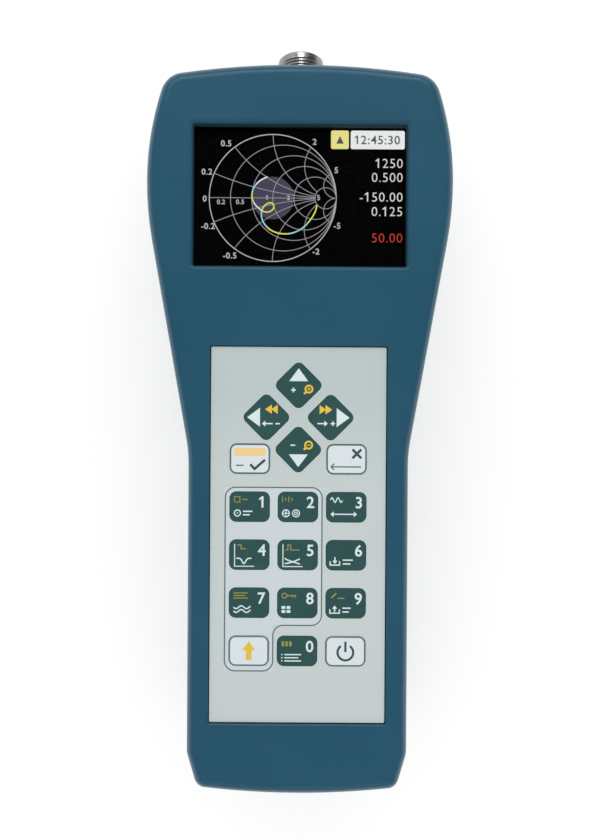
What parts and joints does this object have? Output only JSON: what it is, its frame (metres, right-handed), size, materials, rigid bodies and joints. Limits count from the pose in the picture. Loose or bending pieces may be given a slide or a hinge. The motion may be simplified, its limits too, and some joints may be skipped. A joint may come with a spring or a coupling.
{
  "type": "antenna analyzer",
  "caption": "Handheld antenna analyzer: wide head with a display window, narrower grip with a sunk keypad of moving keys, and a threaded coaxial jack on the top end.",
  "frame": {"origin": "under the middle of the overall length, on the plane of the back", "axes": "X across the face, +Y towards the antenna jack, +Z out of the face"},
  "size_m": [0.0984, 0.2466, 0.05],
  "materials": {
    "case": "fine moulded texture",
    "window": "polished",
    "gasket": "matte",
    "lcd": "glossy",
    "tray": "satin",
    "flat_cable": "satin",
    "board": "satin",
    "tinplate": "satin",
    "nickel": "plated",
    "ptfe": "waxy",
    "gold": "plated",
    "film": "velvet",
    "backing": "matte",
    "steel": "bright",
    "black_plastic": "matte",
    "cell_case": "satin",
    "dark_steel": "blackened",
    "key_dark": "velvet",
    "key_pale": "velvet"
  },
  "bodies": {
    "case": {"front_shell": "case", "rear_shell": "case", "display_window": "window", "display_gasket": "gasket", "lcd_panel": "lcd", "lcd_frame": "tray", "display_ribbon": "flat_cable", "key_ribbon": "flat_cable", "main_board": "board", "key_board": "board", "rf_shield": "tinplate", "jack_body": "nickel", "jack_insulator": "ptfe", "jack_contact": "gold", "keypad_overlay": "film", "keypad_backing": "backing", "snap_domes": "steel", "usb_socket": "tinplate", "usb_tongue": "ptfe", "sounder": "black_plastic", "battery_cells": "cell_case", "battery_contacts": "steel", "battery_springs": "steel", "case_screws": "dark_steel", "board_screws": "steel"},
    "battery_door": {"battery_cover": "case", "cover_screws": "dark_steel"},
    "key_up_button": {"key_up": "key_dark"},
    "key_left_button": {"key_left": "key_dark"},
    "key_right_button": {"key_right": "key_dark"},
    "key_down_button": {"key_down": "key_dark"},
    "key_ok_button": {"key_ok": "key_pale"},
    "key_cancel_button": {"key_cancel": "key_pale"},
    "key_1_button": {"key_1": "key_dark"},
    "key_2_button": {"key_2": "key_dark"},
    "key_3_button": {"key_3": "key_dark"},
    "key_4_button": {"key_4": "key_dark"},
    "key_5_button": {"key_5": "key_dark"},
    "key_6_button": {"key_6": "key_dark"},
    "key_7_button": {"key_7": "key_dark"},
    "key_8_button": {"key_8": "key_dark"},
    "key_9_button": {"key_9": "key_dark"},
    "key_0_button": {"key_0": "key_dark"},
    "key_function_button": {"key_function": "key_pale"},
    "key_power_button": {"key_power": "key_pale"}
  },
  "joints": [
    {"name": "battery_cover_lift", "type": "slide", "parent": "case", "child": "battery_door", "axis": [0, 0, -1], "range_m": [0, 0.03]},
    {"name": "key_up_press", "type": "slide", "parent": "case", "child": "key_up_button", "axis": [0, 0, -1], "range_m": [0, 0.0004], "stiffness_N_per_m": 2500, "springref_m": -0.0002},
    {"name": "key_left_press", "type": "slide", "parent": "case", "child": "key_left_button", "axis": [0, 0, -1], "range_m": [0, 0.0004], "stiffness_N_per_m": 2500, "springref_m": -0.0002},
    {"name": "key_right_press", "type": "slide", "parent": "case", "child": "key_right_button", "axis": [0, 0, -1], "range_m": [0, 0.0004], "stiffness_N_per_m": 2500, "springref_m": -0.0002},
    {"name": "key_down_press", "type": "slide", "parent": "case", "child": "key_down_button", "axis": [0, 0, -1], "range_m": [0, 0.0004], "stiffness_N_per_m": 2500, "springref_m": -0.0002},
    {"name": "key_ok_press", "type": "slide", "parent": "case", "child": "key_ok_button", "axis": [0, 0, -1], "range_m": [0, 0.0004], "stiffness_N_per_m": 2500, "springref_m": -0.0002},
    {"name": "key_cancel_press", "type": "slide", "parent": "case", "child": "key_cancel_button", "axis": [0, 0, -1], "range_m": [0, 0.0004], "stiffness_N_per_m": 2500, "springref_m": -0.0002},
    {"name": "key_1_press", "type": "slide", "parent": "case", "child": "key_1_button", "axis": [0, 0, -1], "range_m": [0, 0.0004], "stiffness_N_per_m": 2500, "springref_m": -0.0002},
    {"name": "key_2_press", "type": "slide", "parent": "case", "child": "key_2_button", "axis": [0, 0, -1], "range_m": [0, 0.0004], "stiffness_N_per_m": 2500, "springref_m": -0.0002},
    {"name": "key_3_press", "type": "slide", "parent": "case", "child": "key_3_button", "axis": [0, 0, -1], "range_m": [0, 0.0004], "stiffness_N_per_m": 2500, "springref_m": -0.0002},
    {"name": "key_4_press", "type": "slide", "parent": "case", "child": "key_4_button", "axis": [0, 0, -1], "range_m": [0, 0.0004], "stiffness_N_per_m": 2500, "springref_m": -0.0002},
    {"name": "key_5_press", "type": "slide", "parent": "case", "child": "key_5_button", "axis": [0, 0, -1], "range_m": [0, 0.0004], "stiffness_N_per_m": 2500, "springref_m": -0.0002},
    {"name": "key_6_press", "type": "slide", "parent": "case", "child": "key_6_button", "axis": [0, 0, -1], "range_m": [0, 0.0004], "stiffness_N_per_m": 2500, "springref_m": -0.0002},
    {"name": "key_7_press", "type": "slide", "parent": "case", "child": "key_7_button", "axis": [0, 0, -1], "range_m": [0, 0.0004], "stiffness_N_per_m": 2500, "springref_m": -0.0002},
    {"name": "key_8_press", "type": "slide", "parent": "case", "child": "key_8_button", "axis": [0, 0, -1], "range_m": [0, 0.0004], "stiffness_N_per_m": 2500, "springref_m": -0.0002},
    {"name": "key_9_press", "type": "slide", "parent": "case", "child": "key_9_button", "axis": [0, 0, -1], "range_m": [0, 0.0004], "stiffness_N_per_m": 2500, "springref_m": -0.0002},
    {"name": "key_0_press", "type": "slide", "parent": "case", "child": "key_0_button", "axis": [0, 0, -1], "range_m": [0, 0.0004], "stiffness_N_per_m": 2500, "springref_m": -0.0002},
    {"name": "key_function_press", "type": "slide", "parent": "case", "child": "key_function_button", "axis": [0, 0, -1], "range_m": [0, 0.0004], "stiffness_N_per_m": 2500, "springref_m": -0.0002},
    {"name": "key_power_press", "type": "slide", "parent": "case", "child": "key_power_button", "axis": [0, 0, -1], "range_m": [0, 0.0004], "stiffness_N_per_m": 2500, "springref_m": -0.0002}
  ]
}
